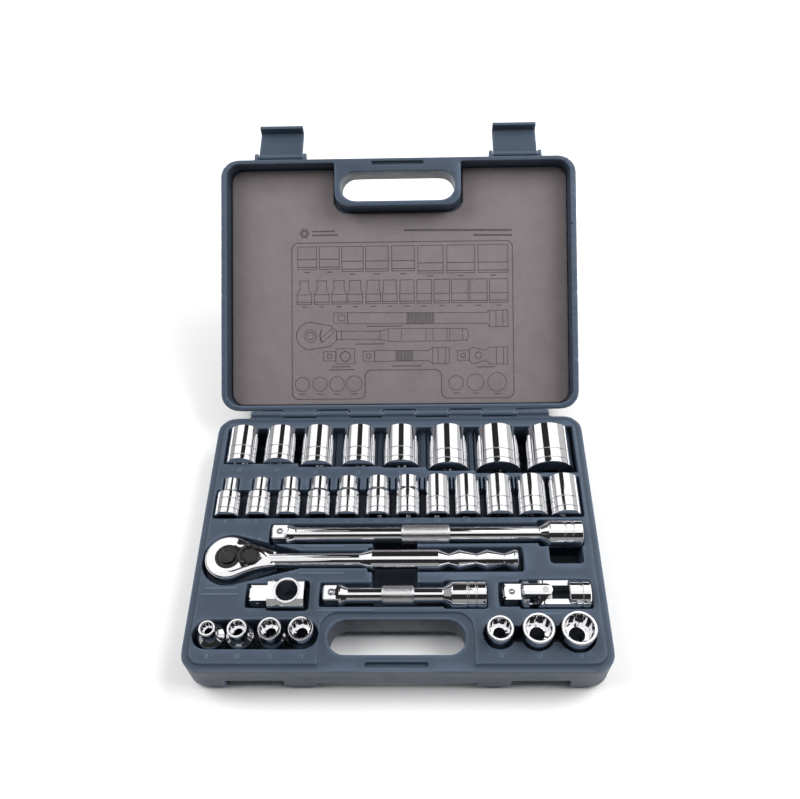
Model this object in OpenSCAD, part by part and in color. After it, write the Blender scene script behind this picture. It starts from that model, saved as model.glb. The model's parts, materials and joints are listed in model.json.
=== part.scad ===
// Socket wrench set in a hinged, blow-moulded carrying case, lid open.
// Millimetres. The case stands on z = 0, the hinge runs along X at the back (+Y),
// and the origin is at the middle of the base's flat bottom.

/* [Case] */
// Outside width of the case
case_w = 325; // [323:1:330]
// Depth of the base, front to back
base_d = 232; // [232:1:236]
// Height of the base up to the parting plane
base_h = 38; // [38:1:44]
// Height of the lid
lid_h = 28; // [27:1:34]
// Radius of the case's corners seen from above
corner_r = 16; // [12:1:18]
// Wall thickness of the double-walled base
wall = 2.4; // [2:0.1:2.8]
// Angle that the lid opens to, from closed
lid_open = 144.6; // [100:0.1:144.6]

/* [Sockets] */
// Length of the sockets in the second row and of the standing ones
socket_len = 36.5; // [35:0.5:37]
// Outside diameter of the drive end of the small sockets
drive_od = 21.6; // [21:0.1:22]
// How far the tops of the lying sockets stand above the parting plane
socket_proud = 9.5; // [8:0.5:10.5]

/* [Drive] */
// Male drive square, nominally 1/2 inch
drive_sq = 12.7; // [12.6:0.01:12.7]
// Diameter of the extension bars
bar_d = 12.5; // [12:0.1:13]
// Bore of the sliding T adapter
tee_bore_d = 17; // [16.5:0.1:17]

/* [Hidden] */

eps = 0.01;
over = 30;              // how far a cutting shape runs past a face
plastic = [0.30, 0.39, 0.49];
foam = [0.50, 0.47, 0.46];
chrome = [0.86, 0.87, 0.89];
steel = [0.62, 0.63, 0.65];
black = [0.07, 0.07, 0.08];

// Case layout
half_w = case_w / 2;
front_y = -base_d / 2;
back_y = base_d / 2;
panel_gap = 5.9;        // the raised panel's distance from the case's outer edge
panel_h = 1.8;          // height of the raised panel above the parting plane
lid_gap = 0.4;          // gap between the closed lid and the base
foot_inset = 3;         // the base's lowest band stands in by this much
foot_h = 5;
handle_w = 105;
handle_front = -102.5;
handle_back = -75.5;
handle_r = 13.4;
handle_band = 5.6;      // plastic around the handle opening
handle_relief = 13;     // the handle bar's underside stands this high
relief_gap = 3;         // the relief under the handle bar is this much wider than its bay
rim_slot_w = 48;
rim_slot_y = -110;

// Hinge
hinge_y = back_y + 3.5;
hinge_z = base_h;
hinge_r = 3.2;
hinge_pin_r = 1.5;
pin_fit = 0.05;         // radial clearance of a running pin
hinge_half = 135;
knuckle_w = 30;
knuckle_gap = 0.4;

// Lid
lid_front = -114.5;
lid_wall = 5.3;
lid_plate = 6;
foam_t = 3;
lid_top = base_h + lid_h;
lid_low = base_h + lid_gap;

// Latches
latch_x = 108;
latch_w = 40;
latch_pin_y = -118.5;
latch_pin_z = base_h + 7.4;
latch_pin_r = 1.5;
latch_barrel_r = 3;
latch_len = 30.4;
latch_lip_t = 3.2;
latch_back = 25;        // past straight out, at rest
latch_turn = 90 + latch_back;
latch_plate_t = 4;
latch_lip_reach = 11.5;
lug_t = 3.6;
lug_r = latch_barrel_r + 0.6;
catch_x = latch_x + 1;
catch_w = 44;
catch_z = 18.5;
catch_depth = 13;

// Rows of sockets
large_sizes = [20, 21, 22, 23, 24, 27, 30, 32];
large_x = [-138, -105, -71.5, -35, 2, 43, 86.5, 131.5];
large_back = 102.5;
large_pocket_back = 103.3;
small_sizes = [8, 9, 10, 11, 12, 13, 14, 15, 16, 17, 18, 19];
small_x = [-143, -117.5, -92, -67, -42.5, -17, 8, 33, 58, 84.5, 112, 139.5];
small_front = 14;
small_bed_front = 12.5;
small_bed_back = 51.3;
neck_y = 39.5;          // the second row's troughs narrow here
neck_len = 12.5;        // length of a stepped socket's narrow end
standing_sizes = [8, 10, 12, 13, 14, 17, 19];
standing_x = [-142, -119.5, -95, -71.5, 77.5, 106, 136];
standing_y = -87;
standing_floor = 14;
pocket_gap = 0.6;       // clearance between a tool and its trough
socket_top = base_h + socket_proud;

// Beds of the tools in the tray
deep_floor = 9;         // floor of the finger wells
rib_floor = 30;         // top of the ribs between the sockets
head_floor = 26;
square_floor = 11;      // the ratchet's drive square points down into this
head_bed_r = 22;
neck_end = -78;
shank_bed_r = 7.6;
grip_bed_r = 10.6;
long_bed_r = 9.2;
square_bed_r = 10;
bed_gap = 0.7;

// Tools
tool_z = base_h;        // height of the long tools' axes
long_end_r = 11.2;
short_end_r = 10.8;
tee_half = 11.2;
joint_r = 11;
long_y = -2.5;
long_x0 = -103;
long_len = 252;
short_y = -55.5;
short_x0 = -58;
short_len = 127;
ratchet_y = -25.5;
head_x = -135.3;
tee_y = -56;
tee_x0 = -115.7;
tee_hole_x = -85;
joint_y = -55.5;
joint_x0 = 81.7;
joint_pin_x = 114;
ball_r = 2.4;
ball_proud = 0.9;
ball_travel = 0.9;
ball_x = 7;             // the detent ball's distance from the tip of the square

// Ratchet head, heights from the tray's bottom
head_r = 18.5;
head_top = 45.5;
head_low = 27.5;
cover_t = 2.5;
gear_r = 13;
gear_teeth = 36;
gear_low = 30.4;
gear_top = 40;
hub_r = 10.3;
hub_top = 44.9;
button_r = 6.5;
button_top = 47.6;
lever_x = -117;
lever_y = -25.5;
lever_r = 7.5;
lever_turn = 28;        // from one of its two positions to the other
pawl_room_r = 6.4;
stem_r = 3;
click_x = lever_x + 5;  // the lever's click ball
screw_x = -121;
screw_y = 8.2;          // to either side of the ratchet's axis
screw_r = 1.5;
screw_head_r = 2.6;
screw_len = 9;

// Diameter of a socket over its wrench end
function wrench_od(s) = 1.26 * s + 2.6;
// Diameter of a socket over its drive end
function drive_end_od(s) = max(drive_od, wrench_od(s));
// Bore between the wrench opening and the drive square
function mid_bore(s) = min(12.4, max(6.8, 0.68 * s));
// Length of a socket in the back row
function large_len(s) = s < 22 ? 36 : s < 27 ? 38.5 : 41;
// Front edge of the back row's pocket at a socket
function large_front(s) = s < 22 ? 66 : s < 24 ? 62.8 : s < 27 ? 61.5 : s < 30 ? 57.8 : 55;
// Corner points of a rectangle with round corners
function rounded(x0, y0, x1, y1, r, steps = 6) = [
    for (c = [[x1 - r, y1 - r, 0], [x0 + r, y1 - r, 90], [x0 + r, y0 + r, 180], [x1 - r, y0 + r, 270]])
        for (i = [0:steps])
            [c[0] + r * cos(c[2] + 90 * i / steps), c[1] + r * sin(c[2] + 90 * i / steps)]
];
// U-shaped section of a trough, open at the top
function trough(r, top, steps = 12) = concat(
    [for (i = [0:steps]) [-r * cos(180 * i / steps), -r * sin(180 * i / steps)]],
    [[r, top], [-r, top]]
);

module slab(x0, y0, x1, y1, r, z0, z1) {
    translate([0, 0, z0])
        linear_extrude(z1 - z0)
            polygon(rounded(x0, y0, x1, y1, r));
}

// Lays a shape drawn along +Z down along +Y.
module along_y(x, y, z) {
    translate([x, y, z])
        rotate([-90, 0, 0])
            children();
}

// Lays a shape drawn along +Z down along +X.
module along_x(x, y, z) {
    translate([x, y, z])
        rotate([0, 90, 0])
            children();
}

// A trough running along Y, grown by g on every side.
module trough_y(x, y0, y1, z, r, g) {
    translate([x, y1 + g, z])
        rotate([90, 0, 0])
            linear_extrude(y1 - y0 + 2 * g)
                polygon(trough(r + g, over));
}

// A trough running along X, grown by g on every side.
module trough_x(x0, x1, y, z, r, g) {
    translate([x0 - g, y, z])
        rotate([90, 0, 90])
            linear_extrude(x1 - x0 + 2 * g)
                polygon(trough(r + g, over));
}

// A flat-bottomed pocket, grown by g on every side.
module well(x0, y0, x1, y1, r, floor_z, g) {
    slab(x0 - g, y0 - g, x1 + g, y1 + g, r + g, floor_z - g, base_h + over);
}

module large_pockets(g) {
    for (i = [0:7]) {
        s = large_sizes[i];
        r = wrench_od(s) / 2 + pocket_gap;
        trough_y(large_x[i], large_front(s), large_pocket_back, socket_top - wrench_od(s) / 2, r, g);
    }
    for (i = [0:6]) {
        front = max(large_front(large_sizes[i]), large_front(large_sizes[i + 1]));
        deep = i < 2 || i == 6;
        well(large_x[i], front, large_x[i + 1], large_pocket_back, 1, deep ? deep_floor : rib_floor, g);
    }
}

module small_pockets(g) {
    for (i = [0:11]) {
        s = small_sizes[i];
        z = socket_top - drive_end_od(s) / 2;
        trough_y(small_x[i], small_bed_front, neck_y, z, drive_end_od(s) / 2 + pocket_gap, g);
        trough_y(small_x[i], neck_y - 0.5, small_bed_back, z, wrench_od(s) / 2 + pocket_gap, g);
    }
    well(small_x[0], small_bed_front, small_x[11], neck_y, 1, rib_floor, g);
}

module standing_pockets(g) {
    well(-155.8, -98.6, -59.5, -75.9, 11.3, standing_floor, g);
    well(standing_x[4], -93, standing_x[6], -81, 1, standing_floor, g);
    for (i = [4:6])
        translate([standing_x[i], standing_y, standing_floor - g])
            cylinder(r = drive_end_od(standing_sizes[i]) / 2 + 1.2 + g, h = over * 2, $fn = 48);
}

module tool_pockets(g) {
    // Long extension
    trough_x(long_x0 - 2, 116, long_y, tool_z, long_bed_r, g);
    trough_x(114, long_x0 + long_len + 1, long_y, tool_z, long_end_r + bed_gap, g);
    well(121.5, -29, 148.5, -8, 3, deep_floor, g);
    // Ratchet: head, neck, shank and grip
    translate([head_x, ratchet_y, head_floor - g])
        cylinder(r = head_bed_r + g, h = over * 2, $fn = 64);
    translate([head_x, ratchet_y, square_floor - g])
        cylinder(r = 11 + g, h = over, $fn = 48);
    translate([0, ratchet_y, head_floor - g])
        linear_extrude(over * 2)
            polygon([
                [head_x + 3, -head_bed_r - g], [neck_end + g, -shank_bed_r - g],
                [neck_end + g, shank_bed_r + g], [head_x + 3, head_bed_r + g]
            ]);
    trough_x(neck_end - 2, -22, ratchet_y, tool_z, shank_bed_r, g);
    trough_x(-24, 100, ratchet_y, tool_z, grip_bed_r, g);
    // Finger channel across the long tools
    well(-20, -60, 16, -4, 4, deep_floor, g);
    // T adapter
    trough_x(tee_x0 - 2.5, -99, tee_y, tool_z, square_bed_r, g);
    well(-101.5, tee_y - tee_half - 1.2, -69, tee_y + tee_half + 1.2, 2, 25.8, g);
    // Short extension
    trough_x(short_x0 - 2.5, 38, short_y, tool_z, square_bed_r, g);
    trough_x(36, short_x0 + short_len + 1, short_y, tool_z, short_end_r + bed_gap, g);
    // Universal joint
    trough_x(joint_x0 - 2.5, 98, joint_y, tool_z, square_bed_r, g);
    trough_x(95, 150.6, joint_y, tool_z, joint_r + 1, g);
}

module pockets(g) {
    large_pockets(g);
    small_pockets(g);
    standing_pockets(g);
    tool_pockets(g);
}

// The handle opening with whatever lies around it, grown by g.
module handle_block(g, z0, z1) {
    slab(-handle_w / 2 - g, handle_front - g, handle_w / 2 + g, handle_back + g, handle_r + g, z0, z1);
}

// The stretch of the front that the handle bar takes, open towards the front.
module handle_bay(g, z0, z1) {
    edge = handle_w / 2 + handle_band + g;
    slab(-edge, front_y - over, edge, handle_back + handle_band - 0.5 + g, handle_r, z0, z1);
}

module base_outline(g, z0, z1) {
    slab(-half_w + g, front_y + g, half_w - g, back_y - g, corner_r - g, z0, z1);
}

// Knuckles of the hinge, on the even or the odd places.
module knuckles(odd) {
    n = floor(2 * hinge_half / knuckle_w);
    for (i = [odd:2:n - 1])
        along_x(-hinge_half + i * knuckle_w + knuckle_gap / 2, hinge_y, hinge_z)
            cylinder(r = hinge_r, h = knuckle_w - knuckle_gap, $fn = 32);
}

// The webs that join those knuckles to a wall, between two heights.
module knuckle_webs(odd, z0, z1) {
    n = floor(2 * hinge_half / knuckle_w);
    for (i = [odd:2:n - 1])
        translate([-hinge_half + i * knuckle_w + knuckle_gap / 2, back_y - 1, z0])
            cube([knuckle_w - knuckle_gap, hinge_y - back_y + 1, z1 - z0]);
}

// Ribs on the base's back that the open lid leans on.
module stop_ribs() {
    turn = [sin(lid_open), cos(lid_open)];
    out = [cos(lid_open), -sin(lid_open)];
    face = hinge_y - back_y + 0.35;
    a = [turn[0] * 7 + out[0] * face, turn[1] * 7 + out[1] * face];
    b = [turn[0] * 24 + out[0] * face, turn[1] * 24 + out[1] * face];
    for (x = [-90, 0, 90])
        translate([x - 7, hinge_y, hinge_z])
            rotate([90, 0, 90])
                linear_extrude(14)
                    polygon([a, b, [back_y - hinge_y - 1, -32], [back_y - hinge_y - 1, -6]]);
}

module base_void() {
    difference() {
        union() {
            base_outline(wall, catch_z + wall, base_h - wall);
            intersection() {
                base_outline(wall + foot_inset, wall, base_h - wall);
                slab(-half_w, front_y + catch_depth + wall, half_w, back_y, 1, wall, base_h);
            }
        }
        pockets(wall);
        handle_bay(relief_gap + wall, -1, base_h + over);
    }
}

module case_base() {
    color(plastic)
        difference() {
            union() {
                base_outline(0, foot_h, base_h);
                base_outline(foot_inset, 0, foot_h + eps);
                difference() {
                    base_outline(panel_gap, base_h - eps, base_h + panel_h);
                    handle_bay(0.6, base_h - 1, base_h + over);
                }
                knuckle_webs(0, hinge_z - hinge_r, hinge_z);
                knuckles(0);
                stop_ribs();
            }
            pockets(0);
            handle_block(0, -1, base_h + over);
            handle_bay(relief_gap, -1, handle_relief);
            for (side = [-1, 1])
                translate([side * catch_x - catch_w / 2, front_y - 1, -1])
                    cube([catch_w, catch_depth + 1, catch_z + 1]);
            slab(-rim_slot_w / 2, rim_slot_y - 1.7, rim_slot_w / 2, rim_slot_y + 1.7, 1.6, base_h - 3, base_h + 5);
            along_x(-hinge_half - 1, hinge_y, hinge_z)
                cylinder(r = hinge_pin_r, h = 2 * hinge_half + 2, $fn = 32);
            base_void();
        }
}

// Turns a shape drawn on the closed lid to where the lid stands open.
module on_lid() {
    translate([0, hinge_y, hinge_z])
        rotate([-lid_open, 0, 0])
            translate([0, -hinge_y, -hinge_z])
                children();
}

module lid_shell() {
    difference() {
        union() {
            slab(-half_w, lid_front, half_w, back_y, corner_r, lid_low, lid_top - 4);
            slab(-half_w + 2, lid_front + 2, half_w - 2, back_y - 2, corner_r - 2, lid_top - 4 - eps, lid_top);
            knuckle_webs(1, lid_low, hinge_z + hinge_r);
        }
        difference() {
            slab(-half_w + lid_wall, lid_front + 3.6, half_w - lid_wall, back_y - 4.9,
                corner_r - 4, lid_low - 1, lid_top - lid_plate);
            intersection() {
                handle_bay(0, lid_low - 2, lid_top);
                slab(-half_w, lid_front, half_w, back_y, 1, lid_low - 3, lid_top);
            }
        }
        handle_block(0, base_h - 1, lid_top + 1);
        slab(-rim_slot_w / 2, rim_slot_y - 1.7, rim_slot_w / 2, rim_slot_y + 1.7, 1.6, lid_low - 1, lid_low + 3);
    }
    knuckles(1);
    for (side = [-1, 1])
        for (end = [-1, 1])
            translate([side * latch_x + end * (latch_w / 2 + 2.4) - lug_t / 2, latch_pin_y, latch_pin_z])
                rotate([0, 90, 0]) {
                    cylinder(r = lug_r, h = lug_t, $fn = 32);
                    translate([-lug_r, 0, 0])
                        cube([2 * lug_r, 6, lug_t]);
                }
}

module case_lid() {
    color(plastic)
        on_lid()
            difference() {
                lid_shell();
                along_x(-hinge_half - 1, hinge_y, hinge_z)
                    cylinder(r = hinge_pin_r + pin_fit, h = 2 * hinge_half + 2, $fn = 32);
                for (side = [-1, 1])
                    along_x(side * latch_x - latch_w / 2 - 10, latch_pin_y, latch_pin_z)
                        cylinder(r = latch_pin_r, h = latch_w + 20, $fn = 32);
            }
}

module foam_liner() {
    color(foam)
        on_lid()
            difference() {
                slab(-half_w + lid_wall + 1, lid_front + 4.4, half_w - lid_wall - 0.4, back_y - 5.6,
                    corner_r - 5, lid_top - lid_plate - foam_t, lid_top - lid_plate);
                handle_bay(2, base_h, lid_top);
            }
}

module hinge_pin() {
    color(steel)
        along_x(-hinge_half, hinge_y, hinge_z)
            cylinder(r = hinge_pin_r, h = 2 * hinge_half, $fn = 32);
}

// A latch, drawn hanging from its pin and turned back to where it rests.
module latch(side) {
    color(plastic)
        on_lid()
            translate([side * latch_x, latch_pin_y, latch_pin_z])
                rotate([-latch_turn, 0, 0])
                    difference() {
                        union() {
                            translate([-latch_w / 2, -2.5, -latch_len])
                                cube([latch_w, latch_plate_t, latch_len]);
                            translate([-latch_w / 2, -2.5, -latch_len])
                                cube([latch_w, latch_lip_reach, latch_lip_t]);
                            along_x(-latch_w / 2, 0, 0)
                                cylinder(r = latch_barrel_r, h = latch_w, $fn = 32);
                        }
                        along_x(-latch_w, 0, 0)
                            cylinder(r = latch_pin_r + pin_fit, h = 2 * latch_w, $fn = 32);
                    }
}

module latch_left() {
    latch(-1);
}

module latch_right() {
    latch(1);
}

module latch_pins() {
    color(steel)
        on_lid()
            for (side = [-1, 1])
                along_x(side * latch_x - latch_w / 2 - 4.2, latch_pin_y, latch_pin_z)
                    cylinder(r = latch_pin_r, h = latch_w + 8.4, $fn = 32);
}

// A socket standing on its drive end, z = 0, with its wrench opening upwards.
module socket(s, len) {
    rd = drive_end_od(s) / 2;
    rw = wrench_od(s) / 2;
    step = rd - rw;
    neck = len - neck_len;
    color(chrome)
        difference() {
            rotate_extrude($fn = 64)
                polygon(concat(
                    [[0, 0], [rd - 1, 0], [rd, 1], [rd, 5.2], [rd - 0.5, 5.7], [rd - 0.5, 6.3], [rd, 6.8]],
                    step > 0.2 ? [[rd, neck - 2.5], [rd - step * 0.3, neck - 1], [rw, neck]] : [],
                    [[rw, len - 0.8], [rw - 0.8, len], [0, len]]
                ));
            translate([0, 0, -1])
                cylinder(d = mid_bore(s), h = len + 2, $fn = 48);
            translate([0, 0, (drive_sq + 0.3) / 2 - 1])
                cube([drive_sq + 0.15, drive_sq + 0.15, drive_sq + 2.3], center = true);
            translate([0, 0, len - min(len / 2, s * 0.6 + 3)])
                for (turn = [0, 30])
                    rotate(turn)
                        cylinder(d = (s + 0.15) / cos(30), h = len, $fn = 6);
        }
}

module large_socket(i) {
    s = large_sizes[i];
    along_y(large_x[i], large_back - large_len(s), socket_top - wrench_od(s) / 2)
        socket(s, large_len(s));
}

module small_socket(i) {
    s = small_sizes[i];
    along_y(small_x[i], small_front, socket_top - drive_end_od(s) / 2)
        socket(s, socket_len);
}

module standing_socket(i) {
    translate([standing_x[i], standing_y, standing_floor + 0.3])
        socket(standing_sizes[i], socket_len + 0.5);
}

// A coil spring standing on z = 0.
module coil_spring(r, wire, h, turns) {
    sides = 6;
    per_turn = 12;
    n = turns * per_turn;
    function centre(i) = [r * cos(360 * i / per_turn), r * sin(360 * i / per_turn), wire + (h - 2 * wire) * i / n];
    function out(i) = [cos(360 * i / per_turn), sin(360 * i / per_turn), 0];
    points = [
        for (i = [0:n])
            for (k = [0:sides - 1])
                centre(i) + wire * (cos(360 * k / sides) * out(i) + sin(360 * k / sides) * [0, 0, 1])
    ];
    skin = [
        for (i = [0:n - 1])
            for (k = [0:sides - 1])
                let (a = i * sides + k, b = i * sides + (k + 1) % sides)
                    each [[a, a + sides, b], [b, a + sides, b + sides]]
    ];
    low_end = [for (k = [0:sides - 1]) k];
    high_end = [for (k = [0:sides - 1]) n * sides + sides - 1 - k];
    polyhedron(points = points, faces = concat([low_end], skin, [high_end]));
}

// Centre of a detent ball, from the tool's axis
ball_rise = drive_sq / 2 + ball_proud - ball_r;

// The blind hole that a detent ball and its spring sit in, pointing up from the axis.
module ball_hole() {
    translate([0, 0, -4.5])
        cylinder(r = ball_r + 0.05, h = 4.5 + drive_sq, $fn = 32);
}

module detent_ball() {
    color(steel)
        translate([0, 0, ball_rise])
            sphere(r = ball_r, $fn = 32);
}

module detent_spring() {
    color(steel)
        translate([0, 0, -4.4])
            coil_spring(1.7, 0.3, ball_rise - ball_r + 4.4 - ball_travel, 5);
}

// Male drive square along +X with its chamfered tip.
module male_square(len) {
    difference() {
        translate([0, -drive_sq / 2, -drive_sq / 2])
            cube([len, drive_sq, drive_sq]);
        for (turn = [0, 90, 180, 270])
            rotate([turn, 0, 0])
                translate([0, -drive_sq, drive_sq / 2])
                    rotate([0, 45, 0])
                        translate([-3, 0, -1])
                            cube([6, 2 * drive_sq, 2]);
    }
}

// An extension bar along +X from the tip of its square.
module extension(len, knurl0, knurl1, knurl_r, flare0, flare1, end_r) {
    r = bar_d / 2;
    difference() {
        union() {
            male_square(14);
            along_x(0, 0, 0)
                rotate_extrude($fn = 48)
                    polygon([
                        [0, 13], [8.6, 13], [8.6, 14.5], [r, 19.5],
                        [r, knurl0], [knurl_r, knurl0 + 0.8], [knurl_r, knurl1 - 0.8], [r, knurl1],
                        [r, flare0], [end_r, flare1],
                        [end_r, len - 15], [end_r - 0.5, len - 14.5], [end_r - 0.5, len - 13.5], [end_r, len - 13],
                        [end_r, len - 8], [end_r - 0.5, len - 7.5], [end_r - 0.5, len - 6.5], [end_r, len - 6],
                        [end_r, len - 0.8], [end_r - 0.8, len], [0, len]
                    ]);
        }
        translate([len - 14, -drive_sq / 2 - 0.08, -drive_sq / 2 - 0.08])
            cube([20, drive_sq + 0.16, drive_sq + 0.16]);
        translate([ball_x, 0, 0])
            ball_hole();
    }
}

module long_extension() {
    color(chrome)
        translate([long_x0, long_y, tool_z])
            extension(long_len, 106.5, 145, 8.2, 218, 225.3, long_end_r);
}

module long_extension_ball() {
    translate([long_x0 + ball_x, long_y, tool_z])
        detent_ball();
}

module long_extension_spring() {
    translate([long_x0 + ball_x, long_y, tool_z])
        detent_spring();
}

module short_extension() {
    color(chrome)
        translate([short_x0, short_y, tool_z])
            extension(short_len, 46.5, 71, 7.9, 93.7, 100.7, short_end_r);
}

module short_extension_ball() {
    translate([short_x0 + ball_x, short_y, tool_z])
        detent_ball();
}

module short_extension_spring() {
    translate([short_x0 + ball_x, short_y, tool_z])
        detent_spring();
}

// Shank and grip of the ratchet, as radius and place along X, with its notched end.
handle_profile = [
    [0, -100], [5.75, -100], [5.75, -30], [8.5, -20.5], [8.5, 34],
    [6.2, 41], [8.4, 49], [6, 63], [8.4, 71], [6, 85], [8.2, 93], [8.2, 95.4], [7.4, 96.2], [0, 96.2]
];

module head_plan(g) {
    circle(r = head_r - g, $fn = 64);
    polygon([[3, 17.4 - g], [3, -17.4 + g], [38, -6.2 + g], [38, 6.2 - g]]);
}

module ratchet_handle() {
    color(chrome)
        difference() {
            union() {
                translate([head_x, ratchet_y, head_low])
                    linear_extrude(head_top - head_low)
                        head_plan(0);
                along_x(0, ratchet_y, tool_z)
                    rotate_extrude($fn = 48)
                        polygon(handle_profile);
            }
            translate([head_x, ratchet_y, head_low - 1])
                linear_extrude(cover_t + 1)
                    head_plan(1.6);
            translate([head_x, ratchet_y, head_low])
                cylinder(r = gear_r + 0.6, h = gear_top + 0.3 - head_low, $fn = 64);
            translate([head_x, ratchet_y, head_low])
                cylinder(r = hub_r + 0.1, h = over, $fn = 64);
            translate([lever_x, lever_y, head_low])
                cylinder(r = pawl_room_r, h = gear_top + 0.3 - head_low, $fn = 48);
            translate([lever_x, lever_y, head_low])
                cylinder(r = stem_r + pin_fit, h = over, $fn = 32);
            translate([click_x, lever_y, gear_top + 1.2])
                cylinder(r = 1.25, h = over, $fn = 32);
            for (side = [-1, 1])
                translate([screw_x, ratchet_y + side * screw_y, head_low])
                    cylinder(r = screw_r, h = screw_len, $fn = 32);
        }
}

module ratchet_cover() {
    color(steel)
        difference() {
            translate([head_x, ratchet_y, head_low])
                linear_extrude(cover_t)
                    difference() {
                        head_plan(1.7);
                        translate([33, -20])
                            square([10, 40]);
                    }
            translate([head_x, ratchet_y, head_low - 1])
                cylinder(r = 9.6, h = over, $fn = 48);
            for (side = [-1, 1])
                translate([screw_x, ratchet_y + side * screw_y, head_low - 1]) {
                    cylinder(r = screw_r, h = over, $fn = 32);
                    cylinder(r = screw_head_r, h = 2.2, $fn = 32);
                }
        }
}

module ratchet_screws() {
    color(steel)
        for (side = [-1, 1])
            translate([screw_x, ratchet_y + side * screw_y, head_low])
                difference() {
                    union() {
                        cylinder(r = screw_head_r, h = 1.2, $fn = 32);
                        cylinder(r = screw_r, h = screw_len, $fn = 32);
                    }
                    translate([-3, -0.4, -1])
                        cube([6, 0.8, 1.5]);
                }
}

module drive_gear() {
    square_low = head_low - 13.5;
    color(black)
        translate([head_x, ratchet_y, 0])
            difference() {
                union() {
                    translate([0, 0, gear_low])
                        linear_extrude(gear_top - gear_low)
                            polygon([
                                for (i = [0:2 * gear_teeth - 1])
                                    let (r = i % 2 == 0 ? gear_r : gear_r - 1.1)
                                        [r * cos(180 * i / gear_teeth), r * sin(180 * i / gear_teeth)]
                            ]);
                    translate([0, 0, gear_top - 1])
                        cylinder(r = hub_r, h = hub_top - gear_top + 1, $fn = 64);
                    translate([0, 0, head_low - 0.5])
                        cylinder(r = 9.3, h = 5, $fn = 48);
                    translate([0, 0, square_low])
                        rotate([0, -90, 180])
                            male_square(15);
                }
                translate([0, 0, square_low + 7.6])
                    cylinder(r = 2.6, h = over * 2, $fn = 32);
                translate([0, 0, hub_top - 6])
                    cylinder(r = button_r + 0.1, h = over, $fn = 48);
                translate([0, 0, square_low + 6])
                    rotate([-90, 0, 0])
                        cylinder(r = ball_r + 0.05, h = over, $fn = 32);
            }
}

module release_button() {
    color(black)
        translate([head_x, ratchet_y, 0]) {
            translate([0, 0, hub_top - 2.4])
                cylinder(r = button_r, h = button_top - hub_top + 2.4, $fn = 48);
            translate([0, 0, 25])
                cylinder(r = 2.5, h = hub_top - 27, $fn = 32);
        }
}

module drive_ball() {
    color(steel)
        translate([head_x, ratchet_y + ball_rise, head_low - 7.5])
            sphere(r = ball_r, $fn = 32);
}

module pawl() {
    color(steel)
        difference() {
            translate([lever_x, lever_y, gear_low + 0.2])
                cylinder(r = 5.9, h = 8.6, $fn = 48);
            translate([head_x, ratchet_y, gear_low - 1])
                cylinder(r = gear_r + 1.5, h = over, $fn = 64);
            translate([lever_x, lever_y, gear_low - 1])
                cylinder(r = stem_r + pin_fit, h = over, $fn = 32);
        }
}

module reverse_lever() {
    bar_z = head_top + 0.4;
    color(black)
        translate([lever_x, lever_y, bar_z])
            rotate(-lever_turn / 2) {
                translate([0, 0, gear_low + 0.6 - bar_z])
                    cylinder(r = stem_r, h = bar_z - gear_low, $fn = 32);
                cylinder(r = lever_r, h = 2.6, $fn = 48);
                // Curved thumb bar beside the button, with a knob at each end
                rotate_extrude(angle = 110, start = 125, $fn = 64)
                    translate([lever_r - 2, 0])
                        square([3.2, 3.4]);
                for (a = [125, 235])
                    translate([8.2 * cos(a), 8.2 * sin(a), 0])
                        cylinder(r = 2.2, h = 3.9, $fn = 32);
            }
}

module lever_ball() {
    color(steel)
        translate([click_x, lever_y, head_top - 0.9])
            sphere(r = 1.2, $fn = 32);
}

module lever_spring() {
    color(steel)
        translate([click_x, lever_y, gear_top + 1.25])
            coil_spring(0.85, 0.2, head_top - gear_top - 3.4, 4);
}

module tee_adapter() {
    len = 44;
    half = tee_half;
    cut = 4.2;
    color(chrome)
        difference() {
            union() {
                translate([tee_x0, tee_y, tool_z])
                    rotate([90, 0, 0])
                        male_square(17);
                translate([tee_x0 + 15.7, tee_y, tool_z])
                    rotate([90, 0, 90])
                        linear_extrude(len - 15.7)
                            polygon([
                                for (q = [0:3])
                                    for (c = [[half, half - cut], [half - cut, half]])
                                        [c[0] * cos(90 * q) - c[1] * sin(90 * q), c[0] * sin(90 * q) + c[1] * cos(90 * q)]
                            ]);
            }
            translate([tee_hole_x, tee_y, tool_z - over])
                cylinder(d = tee_bore_d, h = 2 * over, $fn = 64);
            translate([tee_x0 + ball_x, tee_y, tool_z])
                rotate([90, 0, 0])
                    ball_hole();
        }
}

module tee_ball() {
    translate([tee_x0 + ball_x, tee_y, tool_z])
        rotate([90, 0, 0])
            detent_ball();
}

module tee_spring() {
    translate([tee_x0 + ball_x, tee_y, tool_z])
        rotate([90, 0, 0])
            detent_spring();
}

ear_in = 5.6;           // inner face of a yoke's ears, from the axis
ear_w = 10.6;
cross_w = 10.8;

// The two ears of a yoke, around a pin along Z at x = 0, reaching back to x = -reach.
module ears(reach) {
    intersection() {
        along_x(-reach - 1, 0, 0)
            cylinder(r = joint_r, h = reach + 20, $fn = 64);
        for (side = [-1, 1])
            translate([0, 0, side * (ear_in + 5)])
                union() {
                    cylinder(r = ear_w / 2 + 0.2, h = 10, center = true, $fn = 48);
                    translate([-reach / 2, 0, 0])
                        cube([reach, ear_w, 10], center = true);
                }
    }
}

module joint_male_yoke() {
    color(chrome)
        difference() {
            union() {
                translate([joint_x0, joint_y, tool_z])
                    male_square(15);
                along_x(joint_x0, joint_y, tool_z)
                    rotate_extrude($fn = 64)
                        polygon([[0, 14], [8.6, 14], [joint_r, 16], [joint_r, 20], [0, 20]]);
                translate([joint_pin_x, joint_y, tool_z])
                    ears(joint_pin_x - joint_x0 - 19);
            }
            translate([joint_pin_x, joint_y, tool_z - over])
                cylinder(r = 2.5, h = 2 * over, $fn = 32);
            translate([joint_x0 + ball_x, joint_y, tool_z])
                ball_hole();
        }
}

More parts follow.
